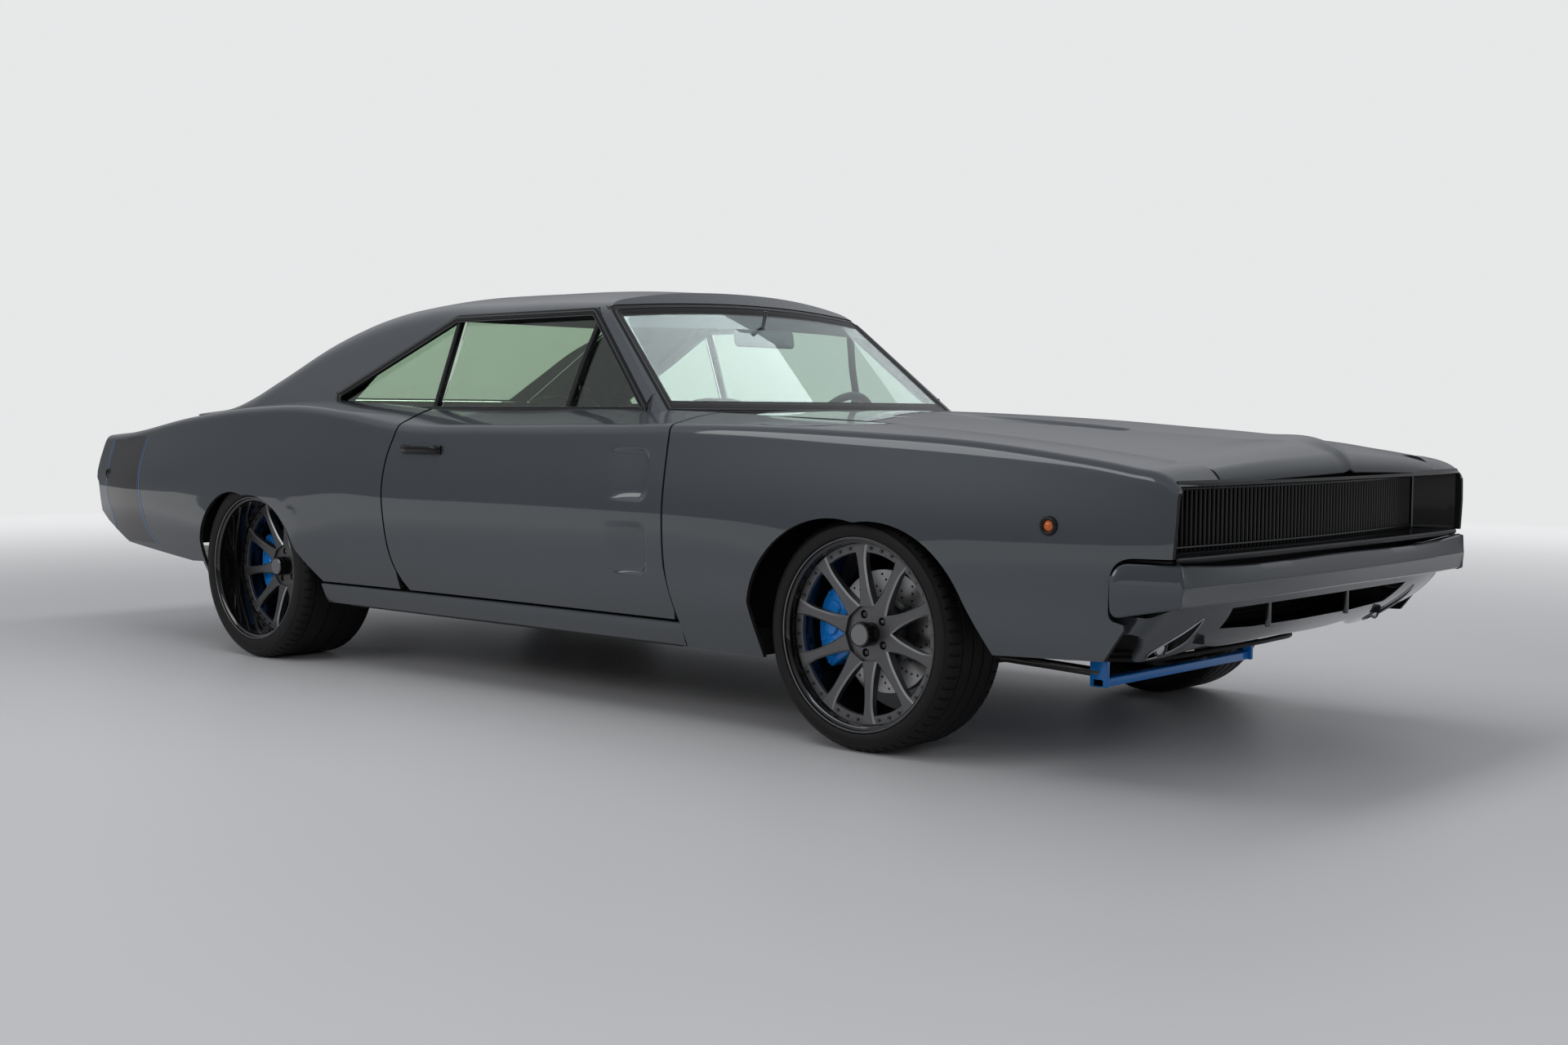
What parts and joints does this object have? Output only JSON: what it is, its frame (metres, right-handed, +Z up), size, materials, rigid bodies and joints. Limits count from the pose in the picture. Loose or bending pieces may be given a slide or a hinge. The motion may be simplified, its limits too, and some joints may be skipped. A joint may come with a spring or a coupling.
{
  "type": "two-door fastback muscle car",
  "caption": "Lowered two-door fastback muscle car with opening doors, hood and trunk lid, steered front wheels and wheels that roll.",
  "frame": {"origin": "on the ground, below the middle of the car's overall box", "axes": "+X to the front, +Y to the car's left, +Z up"},
  "size_m": [5.3168, 1.9538, 1.401],
  "materials": {
    "paint": "gloss dark slate grey",
    "glass": "tinted pane",
    "black_trim": "gloss black",
    "underbody": "satin black",
    "rim": "brushed dark titanium",
    "tyre": "matt black rubber",
    "disc": "machined steel",
    "blue": "gloss blue",
    "steel": "rough dark iron",
    "trim": "grained black",
    "seat": "black leather",
    "lamp": "amber lens",
    "tail_lamp": "red lens",
    "exhaust": "dull stainless"
  },
  "bodies": {
    "body": {"floor_pan": "underbody", "front_rails": "underbody", "trunk_floor": "underbody", "front_fender_left": "paint", "front_fender_right": "paint", "quarter_panel_left": "paint", "quarter_panel_right": "paint", "roof": "paint", "windshield": "glass", "rear_window": "glass", "quarter_glass": "glass", "cowl": "paint", "rear_deck": "paint", "front_bumper": "paint", "front_valance": "paint", "grille": "black_trim", "marker_lamps": "lamp", "tail_panel": "black_trim", "tail_lamps": "tail_lamp", "rear_bumper": "paint", "dashboard": "trim", "steering_wheel": "trim", "front_seats": "seat", "rear_seat": "seat", "engine": "steel", "front_subframe": "blue", "rear_axle": "steel", "driveshaft": "steel", "fuel_tank": "steel", "exhaust": "exhaust", "caliper_rear_left": "blue", "caliper_rear_right": "blue"},
    "hood": {"hood": "paint"},
    "trunk_lid": {"trunk_lid": "paint"},
    "door_left": {"door_left": "paint", "door_glass_left": "glass"},
    "knuckle_left": {"knuckle_front_left": "steel", "caliper_front_left": "blue"},
    "wheel_front_left": {"rim_front_left": "rim", "tyre_front_left": "tyre", "brake_disc_front_left": "disc"},
    "wheel_rear_left": {"rim_rear_left": "rim", "tyre_rear_left": "tyre", "brake_disc_rear_left": "disc"},
    "door_right": {"door_right": "paint", "door_glass_right": "glass"},
    "knuckle_right": {"knuckle_front_right": "steel", "caliper_front_right": "blue"},
    "wheel_front_right": {"rim_front_right": "rim", "tyre_front_right": "tyre", "brake_disc_front_right": "disc"},
    "wheel_rear_right": {"rim_rear_right": "rim", "tyre_rear_right": "tyre", "brake_disc_rear_right": "disc"}
  },
  "joints": [
    {"name": "steer_left", "type": "hinge", "parent": "body", "child": "knuckle_left", "pos_m": [1.6275, 0.695, 0.332], "axis": [0, 0, 1], "range_deg": [-30, 30]},
    {"name": "spin_front_left", "type": "hinge", "parent": "knuckle_left", "child": "wheel_front_left", "pos_m": [1.6275, 0.8, 0.332], "axis": [0, 1, 0], "continuous": true},
    {"name": "spin_rear_left", "type": "hinge", "parent": "body", "child": "wheel_rear_left", "pos_m": [-1.3445, 0.8, 0.347], "axis": [0, 1, 0], "continuous": true},
    {"name": "door_left_hinge", "type": "hinge", "parent": "body", "child": "door_left", "pos_m": [0.8725, 0.941, 0.6], "axis": [0, 0, -1], "range_deg": [0, 65]},
    {"name": "steer_right", "type": "hinge", "parent": "body", "child": "knuckle_right", "pos_m": [1.6275, -0.695, 0.332], "axis": [0, 0, 1], "range_deg": [-30, 30]},
    {"name": "spin_front_right", "type": "hinge", "parent": "knuckle_right", "child": "wheel_front_right", "pos_m": [1.6275, -0.8, 0.332], "axis": [0, 1, 0], "continuous": true},
    {"name": "spin_rear_right", "type": "hinge", "parent": "body", "child": "wheel_rear_right", "pos_m": [-1.3445, -0.8, 0.347], "axis": [0, 1, 0], "continuous": true},
    {"name": "door_right_hinge", "type": "hinge", "parent": "body", "child": "door_right", "pos_m": [0.8725, -0.941, 0.6], "axis": [0, 0, 1], "range_deg": [0, 65]},
    {"name": "hood_hinge", "type": "hinge", "parent": "body", "child": "hood", "pos_m": [0.8645, 0, 0.96], "axis": [0, -1, 0], "range_deg": [0, 50]},
    {"name": "trunk_hinge", "type": "hinge", "parent": "body", "child": "trunk_lid", "pos_m": [-1.6535, 0, 0.966], "axis": [0, 1, 0], "range_deg": [0, 75]}
  ],
  "couplings": [
    {"joint": "steer_left", "follows": "steer_right", "ratio": 1}
  ]
}
